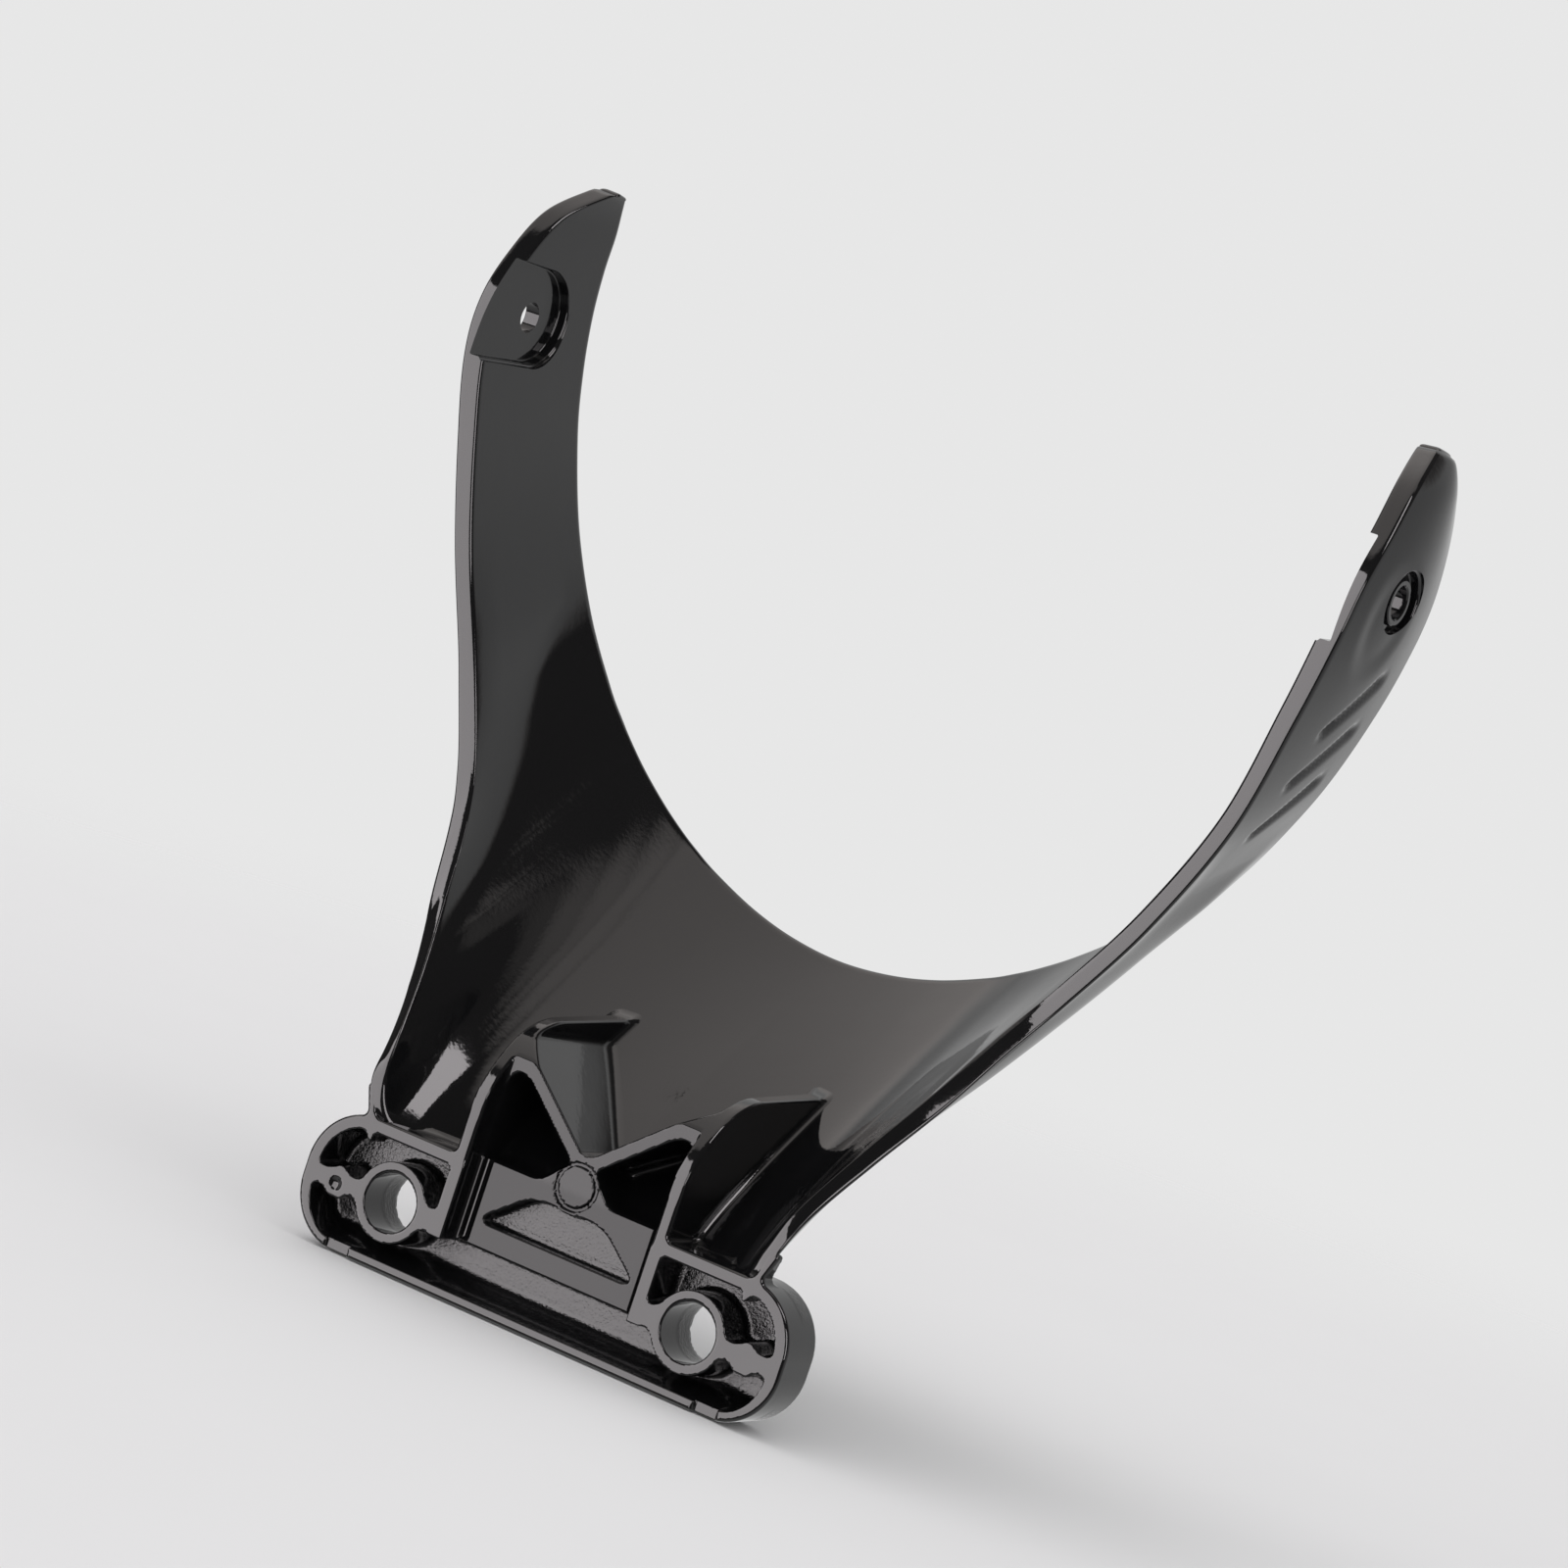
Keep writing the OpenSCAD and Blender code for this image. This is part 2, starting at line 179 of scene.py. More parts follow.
def wallAt(s, v):
    """Wall thickness: thin at the root, thicker along the scoop and arms, crowned round the pivot."""
    c = cradle
    base = c["rootWall"] + (c["scoopWall"] - c["rootWall"]) * np.maximum(smoothStep(5, 9, s), np.minimum(1, 2 * v))
    wall = base + (c["armWall"] - 0.4 * v - base) * smoothStep(*c["armStart"], s)
    wall = wall - c["neckThin"] * v * smoothStep(7, 9, s) * (1 - smoothStep(13, 15, s))
    crown = smoothStep(*c["crownStart"], s) * (1 - smoothStep(*c["crownEnd"], s)) * np.sin(np.pi * v)
    return wall + c["armCrown"] * crown


# slanted grooves on the outer face, each from its lower to its upper end as (y, z), and the dish round the pivot
grooves = {
    "depth": 0.85, "halfWidth": 1.5,
    "starts": [(43.3, 102.3), (41.6, 111.9), (40.8, 121.5)],
    "ends": [(55.9, 115.0), (54.9, 124.6), (51.9, 134.0)],
    "dish": (40.6, 142.5, 8.5, 11.5), "dishDepth": 0.5,
}


def outerRelief(point):
    """Depth cut from the outer face: a soft trough round each slanted line, tapering at its lower end,
    and a shallow oval dish round the pivot."""
    y, z = point[..., 1], point[..., 2]
    y0, z0, wide, high = grooves["dish"]
    depth = grooves["dishDepth"] * (1 - smoothStep(0.5, 1.0, np.hypot((y - y0) / wide, (z - z0) / high)))
    for (y0, z0), (y1, z1) in zip(grooves["starts"], grooves["ends"]):
        along = np.array([y1 - y0, z1 - z0])
        length = np.hypot(*along)
        t = ((y - y0) * along[0] + (z - z0) * along[1]) / length ** 2
        side = ((y - y0) * -along[1] + (z - z0) * along[0]) / length
        width = grooves["halfWidth"] * (0.6 + 0.4 * np.clip(t, 0, 1))
        ends = smoothStep(-0.06, 0.12, t) * (1 - smoothStep(0.9, 1.06, t))
        depth = np.maximum(depth, grooves["depth"] * np.exp(-(side / width) ** 2 * 1.4) * ends)
    return depth


def rowStations():
    # station values about rowStep millimetres apart along the rear and notch edges
    fine = np.linspace(0, lastStation, 4001)
    middle = (curveAt(rearStations, fine) + curveAt(notchStations, fine)) / 2
    run = np.concatenate([[0], np.cumsum(np.linalg.norm(np.diff(middle, axis=0), axis=1))])
    return np.interp(np.linspace(0, run[-1], int(run[-1] / cradle["rowStep"]) + 1), run, fine)


def cradleSurface():
    """Half the shell: a rounded rectangle carried along the stations, long sides on the inner and outer faces."""
    c = cradle
    s = rowStations()
    length = np.linalg.norm(curveAt(notchStations, s) - curveAt(rearStations, s), axis=1)[:, None]
    wallRear, wallFront = wallAt(s, 0 * s)[:, None], wallAt(s, 0 * s + 1)[:, None]
    front, rear = np.minimum(c["frontRadius"], length * 0.3), np.minimum(c["rearRadius"], length * 0.2)
    arcs = np.linspace(0, np.pi / 2, c["arcColumns"])
    side = (1 - np.cos(np.linspace(0, np.pi, c["faceColumns"]))) / 2
    side = side * 0.5 + np.linspace(0, 1, c["faceColumns"]) * 0.5
    quarters = np.array([[0.25, 0.5, 0.75]])
    # each part is (distance from the rear edge, height above the inner face), with None for the outer face
    parts = [
        (rear + (length - rear - front) * side, 0 * length * side),
        (length - front + front * np.sin(arcs[1:]), front * (1 - np.cos(arcs[1:]))),
        (length + 0 * quarters, front + (wallFront - 2 * front) * quarters),
        (length - front + front * np.cos(arcs[:-1]), wallFront - front + front * np.sin(arcs[:-1])),
        (length - front - (length - rear - front) * side, None),
        (rear - rear * np.sin(arcs[1:]), wallRear - rear + rear * np.cos(arcs[1:])),
        (0 * length * quarters, wallRear - rear - (wallRear - 2 * rear) * quarters),
        (rear - rear * np.cos(arcs[:-1]), rear - rear * np.sin(arcs[:-1])),
    ]
    points = []
    flare = np.interp(s, c["flareStation"], c["flareShare"])[:, None]
    for distance, height in parts:
        fade = np.clip(1 - distance / c["flareFade"], 0, 1) ** 2
        distance = distance - flare * fade * (wallRear if height is None else height)
        v = distance / length
        held = np.clip(v, 0, 1)
        grid = s[:, None] + 0 * v
        inner, normal = innerFace(grid, v), faceNormal(grid, held)
        if height is None:
            height = wallAt(grid, held)
            height = height - outerRelief(inner + normal * height[..., None])
        points.append(inner + normal * height[..., None])
    loops = np.concatenate(points, 1)
    loops[..., 1] = np.maximum(loops[..., 1], c["backPlane"])
    # the tip closes on a rounded end
    centre = loops[-1].mean(0)
    forward = unit(centre - loops[-6].mean(0)) * c["tipReach"]
    cap = [loops[-1] + (centre - loops[-1]) * 0.45 * (1 - np.cos(t)) + forward * np.sin(t)
           for t in np.linspace(0, np.pi / 2, 6)[1:]]
    cap.append(np.repeat((centre + forward)[None], loops.shape[1], 0))
    return np.concatenate([loops, np.array(cap)], 0)


def makeCradle():
    half = cradleSurface()
    whole = np.concatenate([half[:0:-1] * [-1, 1, 1], half], 0)
    return makeMesh("castCradle", whole.reshape(-1, 3), gridFaces(*whole.shape[:2]))


def mergeAndTurn(piece):
    # merges doubled points and turns every face outwards
    mesh = bmesh.new()
    mesh.from_mesh(piece.data)
    bmesh.ops.remove_doubles(mesh, verts=mesh.verts, dist=1e-7)
    bmesh.ops.dissolve_degenerate(mesh, edges=mesh.edges, dist=1e-7)
    bmesh.ops.recalc_face_normals(mesh, faces=mesh.faces)
    mesh.to_mesh(piece.data)
    mesh.free()
    return piece


# pivot hole, seat inside the arm and bolt-head recess outside it; floors, tops and mouths are values of x
pivot = {
    "y": 42.9, "z": 146.0, "holeStart": 79.0, "holeRadius": 2.75, "collarRadius": 3.9, "collarTop": 87.9,
    "seatRadius": 8.55, "seatRise": 0.55, "seatSplay": 2.2, "seatBack": -26.0,
    "seatFloor": 84.88, "seatMouth": 82.75, "seatRound": 0.45, "seatFillet": 0.35,
    "headRadius": 5.35, "headFloor": 86.8, "headMouth": 88.7, "headRound": 0.45,
}


def loft(loops, name):
    # closed solid from a stack of loops with the same number of points, on both sides of x = 0
    rows, columns = loops.shape[:2]
    caps = [np.repeat(loops[i].mean(0)[None, None], columns, 1) for i in (0, -1)]
    loops = np.concatenate([caps[0], loops, caps[1]], 0)
    faces = gridFaces(rows + 2, columns)
    points = loops.reshape(-1, 3)
    both = np.concatenate([points, points * [-1, 1, 1]], 0)
    return mergeAndTurn(makeMesh(name, both, np.concatenate([faces, faces + len(points)], 0)))


def seatCutter():
    """Stack of D outlines: a half circle in front and two level lines to the rear, flaring at the mouth."""
    c = pivot
    turn = np.linspace(-np.pi / 2, np.pi / 2, 49)
    bend = np.linspace(0, np.pi / 2, 7)
    floor, mouth, r, f = c["seatFloor"], c["seatMouth"], c["seatRound"], c["seatFillet"]
    levels = [(floor - f + f * np.sin(t), -f + f * np.cos(t)) for t in bend[::-1]]
    levels += [(mouth + r - r * np.sin(t), r - r * np.cos(t)) for t in bend[:-1]]
    levels += [(mouth - 0.25, r * 1.15), (mouth - 5, r * 2)]
    loops = []
    for x, grow in levels:
        radius = c["seatRadius"] + grow
        y = np.concatenate([[c["seatBack"]], radius * np.cos(turn), [c["seatBack"]]]) + c["y"]
        z = np.concatenate([[-radius - c["seatSplay"]], radius * np.sin(turn), [radius]]) + c["z"] + c["seatRise"]
        loops.append(np.stack([0 * y + x, y, z], 1))
    return loft(np.array(loops), "seatCutter")


def holeCutter():
    """Turned profile: the pivot hole, the collar round it, then the wider recess with a rounded mouth."""
    c = pivot
    turn = np.linspace(0, 2 * np.pi, 73)[:-1]
    bend = np.linspace(0, np.pi / 2, 7)
    r = c["headRound"]
    top, floor = c["collarTop"], c["headFloor"]
    profile = [(c["holeStart"], c["holeRadius"]), (top - 0.25, c["holeRadius"]), (top, c["holeRadius"] + 0.25),
               (top, c["collarRadius"] - 0.2), (top - 0.2, c["collarRadius"]), (floor, c["collarRadius"] + 0.1),
               (floor, c["headRadius"] - 0.2), (floor + 0.2, c["headRadius"])]
    profile += [(c["headMouth"] - r + r * np.sin(t), c["headRadius"] + r - r * np.cos(t)) for t in bend]
    profile += [(c["headMouth"] + 5, c["headRadius"] + r * 2)]
    x, radius = np.array(profile).T[..., None]
    loops = np.stack([x + 0 * turn, radius * np.cos(turn) + c["y"], radius * np.sin(turn) + c["z"]], -1)
    return loft(loops, "holeCutter")


def carve(piece, cutters):
    # subtracts each cutter from a piece and removes it
    for cutter in cutters:
        change = piece.modifiers.new(cutter.name, "BOOLEAN")
        change.operation, change.solver, change.object = "DIFFERENCE", "MANIFOLD", cutter
    result = bpy.data.meshes.new_from_object(piece.evaluated_get(bpy.context.evaluated_depsgraph_get()))
    result.materials.clear()
    piece.modifiers.clear()
    piece.data = result
    for cutter in cutters:
        bpy.data.objects.remove(cutter)
    return piece


cradlePiece = carve(mergeAndTurn(makeCradle()), [seatCutter(), holeCutter()])
cradlePiece.data.set_sharp_from_angle(angle=0.6)
print("cradle:", len(cradlePiece.data.polygons), "faces")

# foot, upright ribs, middle web and struts as one filleted body
foot = {
    "halfWidth": 48.0, "top": 12.2, "low": -11.5, "depth": 10.5, "cornerRadius": 10.5,
    "wall": 2.5, "lowerWall": 1.6, "topWall": 2.4, "floorDepth": 7.9,
    # slope of the shelf along the lower wall, and the share of its height that counts as distance
    "shelfSlope": 0.36, "shelfShare": 0.94,
    # walls lean with depth, as a casting's do: inside, then outside and on the ribs
    "draft": 0.02, "outerDraft": 0.012,
    # rounds: block's front edge, pocket floors, rim of the walls, rim of the plate's pockets, slits, bores
    "edgeRound": 0.9, "floorRound": 0.8, "rimRound": 0.3, "pocketRim": 0.35, "slitRound": 0.15, "boreRound": 0.12,
    "boltX": 30.0, "boltRadius": 5.0, "boltChamfer": 0.25, "ringRadius": 6.82, "webIn": 2.0, "webOut": 1.6,
    # uneven pads: wave height, waves round, phase; then the dimple beside the left one as x, y, z, radius
    "padX": 41.0, "padZ": -0.3, "padRadius": 2.7, "padWaves": [(0.10, 3, 0.6), (0.06, 7, 0.0)],
    "dimple": (-41.2, -0.9, -0.7, 1.5),
    # ribs; their crest is a curve with its bend and end at these depths, so far below the crest's height
    "ribIn": 18.7, "ribOut": 21.2, "ribLow": -1.8, "ribFront": 22.3, "ribCrest": 38.1,
    "crestCurve": (5.3, 17.0), "crestDrop": (2.8, 1.5),
    "plateDepth": 4.4, "plateLow": -1.85, "valley": 18.4, "valleyRound": 2.2, "strutSlope": 0.828, "strutWall": 2.4,
    # round pad in the middle of the plate: height, bare radius round it, ring groove's radius and half width
    "webPadZ": 13.85, "webPadRadius": 4.6, "grooveRadius": 3.75, "grooveHalf": 0.3, "grooveDepth": 0.4,
    # triangle pockets: top, then x of the inner side's low end and x, z of its high end, x of the outer cut corner
    "pocketTop": 27.8, "triangleIn": (7.25, 2.3, 17.1), "triangleOut": (17.3, 18.7),
    # trapezoid pockets: low and high edge, and x of the slanted side at each
    "trapezoid": (2.25, 9.8), "trapezoidSide": (16.3, 6.6),
    "slitX": 17.1, "slitHalf": 0.8, "slitDepth": 0.9,
    # skin under the scoop that laps onto ribs and foot: thickness, reach, lowest z, half width
    "lapWall": 1.5, "lapReach": 3.6, "lapLow": 12.0, "lapHalf": 31.0,
    # foot of each arm's rear strip: its outer and inner line as (x, z, x, z), low and top z, depth and lean
    "rootOuter": (41.9, 18.5, 39.3, 11.6), "rootInner": (37.4, 10.0, 39.4, 18.6), "rootSpan": (8.0, 17.3),
    "rootDepth": 3.6, "rootLean": 0.4,
    # dips in the lower wall: x, half width, depth, top
    "dip": (37.2, 2.2, 0.8, -9.0), "dipRound": 0.25,
    # box and cell size of the net, in millimetres
    "netLow": (-49, -1.2, -12.6), "netHigh": (49, 50, 45), "cell": 0.455,
}


def roundMin(a, b, radius):
    # union of two solids with a circular fillet of this radius between them
    return np.maximum(radius, np.minimum(a, b)) - np.hypot(np.maximum(radius - a, 0), np.maximum(radius - b, 0))


def roundMax(a, b, radius):
    # intersection of two solids with a circular round of this radius on the edge
    return np.minimum(-radius, np.maximum(a, b)) + np.hypot(np.maximum(radius + a, 0), np.maximum(radius + b, 0))


def roundedBox(x, z, halfX, low, high, radius):
    # signed distance to a rectangle with rounded corners, centred on x = 0
    dx = np.abs(x) - halfX + radius
    dz = np.abs(z - (low + high) / 2) - (high - low) / 2 + radius
    return np.hypot(np.maximum(dx, 0), np.maximum(dz, 0)) + np.minimum(np.maximum(dx, dz), 0) - radius


def lineSide(x, z, x0, z0, x1, z1):
    # distance to the line from point 0 to point 1, positive on its left
    length = np.hypot(x1 - x0, z1 - z0)
    return ((z - z0) * (x1 - x0) - (x - x0) * (z1 - z0)) / length


def scoopPolynomial():
    """Height of the scoop's inner face over its chord plane, which runs 0.8 forward and 0.6 up, fitted as a
    polynomial in across squared and along."""
    s, v = np.meshgrid(np.linspace(0, 9.5, 240), np.linspace(0, 0.8, 90), indexing="ij")
    p = innerFace(s, v).reshape(-1, 3)
    along, height = p[:, 1] * 0.8 + p[:, 2] * 0.6, p[:, 2] * 0.8 - p[:, 1] * 0.6
    keep = (p[:, 0] < 34) & (along < 62)
    a, u, h = (p[keep, 0] / 30) ** 2, along[keep] / 40, height[keep]
    powers = [(i, j) for i in range(6) for j in range(8) if i + j < 9]
    terms = np.stack([a ** i * u ** j for i, j in powers], 1)
    weights, *_ = np.linalg.lstsq(terms, h, rcond=None)
    error = np.abs(terms @ weights - h)
    print("scoop fit: worst", error.max().round(3), "mean", error.mean().round(3))
    return powers, weights


scoopPowers, scoopWeights = scoopPolynomial()


def scoopSlab(x, y, z):
    """Thin slab just under the scoop's inner face: height over the fitted face, divided by the face's slope."""
    along, height = y * 0.8 + z * 0.6, z * 0.8 - y * 0.6
    a, u = np.minimum((x / 30) ** 2, 1.28), np.clip(along / 40, 0.33, 1.55)
    face = 0
    for (i, j), weight in zip(scoopPowers, scoopWeights):
        face = face + weight * a ** i * u ** j
    above = (height - face) * 0.97 + 0.1
    return above, np.maximum(above, -foot["lapWall"] - above)


def crestLine():
    # the ribs' crest as heights over depth: a curve from the bolted face, then a slow rise under the scoop
    f, t = foot, np.linspace(0, 1, 60)
    bendY, endY = f["crestCurve"]
    bendZ, endZ = (f["ribCrest"] - drop for drop in f["crestDrop"])
    y = 2 * bendY * t * (1 - t) + endY * t * t
    z = f["ribFront"] * (1 - t) ** 2 + 2 * bendZ * t * (1 - t) + endZ * t * t
    y = np.concatenate([[-6, -0.001], y, [40, 69]])
    z = np.concatenate([[f["ribFront"] - 13, f["ribFront"] - 0.01], z, [f["ribCrest"] + 0.2, f["ribCrest"] + 1]])
    return y, z


crestY, crestZ = crestLine()
crestSlope = np.gradient(crestZ, crestY)


def trayField(x, y, z, outline, draft):
    """Foot's walls: the block inside the outline, less a hollow with a level floor and a sloping shelf."""
    f = foot
    low = f["low"] + f["lowerWall"]
    block = roundMax(outline + f["outerDraft"] * y, y - f["depth"], f["edgeRound"])
    hollow = roundedBox(x, z, f["halfWidth"] - f["wall"], low, f["top"] - f["topWall"], f["cornerRadius"] - f["wall"])
    shelf = (low + f["shelfSlope"] * y - z) * f["shelfShare"]
    hollow = roundMax(hollow + draft, shelf, f["floorRound"])
    hollow = roundMax(hollow, y - f["floorDepth"], f["floorRound"])
    return roundMax(block, -hollow, f["rimRound"])


def ringField(x, y, z, ax, draft):
    """Bolt rings: each a cylinder with a level web inwards and outwards, and an uneven pad on the outer web."""
    f = foot
    ring = np.hypot(ax - f["boltX"], z) - f["ringRadius"] - draft * 0.6
    inWeb = np.maximum(np.abs(z) - f["webIn"] - draft * 0.6, np.maximum(f["ribIn"] - ax, ax - f["boltX"]))
    endWeb = np.maximum(f["boltX"] - ax, ax - f["halfWidth"] + 1)
    endWeb = np.maximum(np.abs(z + 0.1) - f["webOut"] - draft * 0.6, endWeb)
    around = np.arctan2(z - f["padZ"], x - np.sign(x) * f["padX"])
    lump = sum(height * np.sin(waves * around + phase) for height, waves, phase in f["padWaves"])
    pad = np.hypot(ax - f["padX"], z - f["padZ"]) - f["padRadius"] + lump - draft * 0.5
    rings = roundMin(roundMin(ring, inWeb, 1.4), roundMin(endWeb, pad, 0.6), 1.0)
    return roundMax(rings, y - f["depth"] + 1, f["rimRound"])


def plateField(x, y, z, ax, draft):
    """Recessed plate: a V of two struts over a low edge, less a triangle pocket under each strut's outer end
    and a trapezoid pocket that keeps clear of the round pad."""
    f = foot
    slope = np.sqrt(1 + f["strutSlope"] ** 2)
    left, right = z - f["valley"] - f["strutSlope"] * x, z - f["valley"] + f["strutSlope"] * x
    plate = roundMax(roundMin(left / slope, right / slope, f["valleyRound"]), f["plateLow"] - z, 0.5)
    plate = np.maximum(plate, ax - f["ribIn"] - 1)
    top, under = f["pocketTop"], f["valley"] - f["strutWall"] * slope
    triangle = roundMax((z - under - f["strutSlope"] * ax) / slope, f["top"] - z, 1.0)
    lowX, highX, highZ = f["triangleIn"]
    triangle = roundMax(triangle, lineSide(ax, z, lowX, f["top"], highX, highZ), 1.4)
    triangle = roundMax(triangle, z - top, 1.2)
    triangle = roundMax(triangle, ax - f["ribIn"], f["floorRound"])
    topX, sideX = f["triangleOut"]
    triangle = roundMax(triangle, lineSide(ax, z, topX, top, sideX, top - 2), f["floorRound"])
    low, high = f["trapezoid"]
    lowX, highX = f["trapezoidSide"]
    trapezoid = roundMax(low - z, z - high, 1.0)
    trapezoid = roundMax(trapezoid, lineSide(ax, z, highX, high, lowX, low), 2.0)
    trapezoid = roundMax(trapezoid, f["webPadRadius"] - np.hypot(x, z - f["webPadZ"]), f["floorRound"])
    trapezoid = roundMax(trapezoid + draft * 0.5, y - f["floorDepth"], f["floorRound"])
    plate = roundMax(plate, -(triangle + draft * 0.5), f["pocketRim"])
    return roundMax(plate, -trapezoid, f["pocketRim"])


def ribField(x, y, z, ax, plate):
    """Upright ribs joined to the plate, both under the crest line: height over the crest divided by its slope."""
    f = foot
    crest = (z - np.interp(y, crestY, crestZ)) / np.sqrt(1 + np.interp(y, crestY, crestSlope) ** 2)
    middle, half = (f["ribIn"] + f["ribOut"]) / 2, (f["ribOut"] - f["ribIn"]) / 2
    upright = roundMax(np.abs(ax - middle) - half - f["outerDraft"] * y, f["ribLow"] - z, 0.5)
    return roundMax(roundMin(upright, plate, 0.7), crest, 0.55)


def footCuts(x, y, z, ax):
    # pairs of a hollow and the round at its mouth, in the order of the cuts
    f = foot
    deep = y - f["plateDepth"]
    recess = roundMax(roundMax(ax - f["ribIn"], f["low"] + 4 - z, 0.5), deep, 0.5)
    slit = np.maximum(np.abs(ax - f["slitX"]) - f["slitHalf"], np.maximum(f["plateLow"] + 0.4 - z, z - f["top"] - 0.4))
    slit = roundMax(slit, deep - f["slitDepth"], f["rimRound"])
    groove = np.abs(np.hypot(x, z - f["webPadZ"]) - f["grooveRadius"]) - f["grooveHalf"]
    groove = np.maximum(groove, deep - f["grooveDepth"])
    dipX, dipHalf, dipDepth, dipTop = f["dip"]
    dip = np.maximum(np.abs(ax - dipX) - dipHalf, np.maximum(y - dipDepth, z - dipTop))
    bore = np.hypot(ax - f["boltX"], z) - f["boltRadius"]
    bore = np.minimum(bore, (bore + y - f["boltChamfer"]) * 0.7071)
    return [(recess, f["pocketRim"]), (slit, f["slitRound"]), (groove, f["slitRound"]),
            (dip, f["dipRound"]), (bore, f["boreRound"])]


def footField(p):
    """Signed distance to the foot: tray, rings, ribs and plate joined by fillets, lapped onto the scoop and the
    arms' rear strips, less the cuts, and flat at the bolted face."""
    f = foot
    x, y, z = p[..., 0], p[..., 1], p[..., 2]
    ax = np.abs(x)
    draft = f["draft"] * np.clip(y, 0, 12)
    outline = roundedBox(x, z, f["halfWidth"], f["low"], f["top"], f["cornerRadius"])
    web = ribField(x, y, z, ax, plateField(x, y, z, ax, draft))
    above, lap = scoopSlab(x, y, z)
    web = np.maximum(web, np.where(z > f["top"] - 1.5, -1.0 - above, y - f["depth"] + 0.8))
    body = roundMin(trayField(x, y, z, outline, draft), ringField(x, y, z, ax, draft), 0.9)
    body = roundMin(body, web, 1.0)
    lap = np.maximum(lap, np.maximum(body - f["lapReach"], f["lapLow"] - z))
    body = roundMin(body, np.maximum(lap, ax - f["lapHalf"]), 1.5)
    rootLow, rootTop = f["rootSpan"]
    root = roundMax(lineSide(ax, z, *f["rootOuter"]), lineSide(ax, z, *f["rootInner"]), f["rimRound"])
    root = roundMax(root, np.maximum(z - rootTop, rootLow - z), 0.9)
    body = roundMin(body, np.maximum(root, y + f["rootLean"] * (z - 12) - f["rootDepth"]), 1.2)
    for cut, edge in footCuts(x, y, z, ax):
        body = roundMax(body, -cut, edge)
    dimpleX, dimpleY, dimpleZ, dimpleRadius = f["dimple"]
    dimple = dimpleRadius - np.sqrt((x - dimpleX) ** 2 + (y - dimpleY) ** 2 + (z - dimpleZ) ** 2)
    # the edge round grows from the inner rims to the foot's outline
    return roundMax(np.maximum(body, dimple), -y, 0.3 + 0.45 * smoothStep(-2.2, -0.6, outline))


def surfaceNet(field, low, high, cell):
    """Closed mesh of a field's zero level: one vertex in each grid cell the level crosses, moved onto the level."""
    low, high = np.array(low, float), np.array(high, float)
    # the field at the middle of each coarse block, then again at every grid point near the level
    block = 4
    count = np.ceil((high - low) / cell / block).astype(int)
    axes = [low[i] + cell * (np.arange(count[i]) * block + (block - 1) / 2) for i in range(3)]
    rough = field(np.stack(np.meshgrid(*axes, indexing="ij"), -1))
    reach = cell * block * 1.1
    values = np.repeat(np.repeat(np.repeat(rough, block, 0), block, 1), block, 2)
    near = np.abs(values) < reach
    where = np.argwhere(near)
    values[near] = field(low + where * cell)
    inside = values < 0
    # cells with corners on both sides of the level, each with a vertex at the mean of its edges' crossings
    corners = [(i, j, k) for i in (0, 1) for j in (0, 1) for k in (0, 1)]
    shape = np.array(values.shape) - 1
    total = sum(inside[i:i + shape[0], j:j + shape[1], k:k + shape[2]].astype(np.int8) for i, j, k in corners)
    mixed = (total > 0) & (total < 8)
    index = np.full(mixed.shape, -1, np.int64)
    index[mixed] = np.arange(mixed.sum())
    cells = np.argwhere(mixed)
    value = {c: values[cells[:, 0] + c[0], cells[:, 1] + c[1], cells[:, 2] + c[2]] for c in corners}
    place, hits = np.zeros((len(cells), 3)), np.zeros(len(cells))
    for a in corners:
        for axis in range(3):
            if a[axis] == 0:
                b = tuple(1 if n == axis else a[n] for n in range(3))
                crossed = (value[a] < 0) != (value[b] < 0)
                t = np.where(crossed, value[a] / np.where(crossed, value[a] - value[b], 1), 0)
                step = np.array(a, float) + t[:, None] * (np.array(b) - np.array(a))
                place += np.where(crossed[:, None], step, 0)
                hits += crossed
    points = low + (cells + place / hits[:, None]) * cell
    # one quad round each grid edge that the level crosses
    faces = []
    for axis in range(3):
        other = [n for n in range(3) if n != axis]
        first = [slice(1, -1)] * 3
        second = [slice(1, -1)] * 3
        first[axis], second[axis] = slice(0, -1), slice(1, None)
        start, stop = inside[tuple(first)], inside[tuple(second)]
        for flip, chosen in ((False, start & ~stop), (True, ~start & stop)):
            at = np.argwhere(chosen)
            for n in other:
                at[:, n] += 1
            quad = []
            for u, w in ((-1, -1), (0, -1), (0, 0), (-1, 0)):
                q = at.copy()
                q[:, other[0]] += u
                q[:, other[1]] += w
                quad.append(index[q[:, 0], q[:, 1], q[:, 2]])
            quad = np.stack(quad, 1)
            if flip != (axis == 1):
                quad = quad[:, ::-1]
            faces.append(quad)
    faces = np.concatenate(faces)
    # three steps down the field's slope set each point on the level
    for settle in range(3):
        slope = gradient(field, points, 0.04)
        length = np.maximum((slope ** 2).sum(1), 0.3)
        move = field(points)[:, None] * slope / length[:, None]
        points = points - np.clip(move, -cell / 2, cell / 2)
    return points, faces, unit(gradient(field, points, 0.05) + 1e-9)


def gradient(field, points, step):
    # slope of a field at each point by central differences
    return np.stack([(field(points + step * e) - field(points - step * e)) / (2 * step) for e in np.eye(3)], 1)


def makeFoot():
    points, faces, normals = surfaceNet(footField, foot["netLow"], foot["netHigh"], foot["cell"])
    return makeMesh("castFoot", points, faces, normals)


footPiece = makeFoot()
print("foot:", len(footPiece.data.polygons), "faces")

for piece in (cradlePiece, footPiece):
    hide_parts("bracket")
    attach(piece, "root")


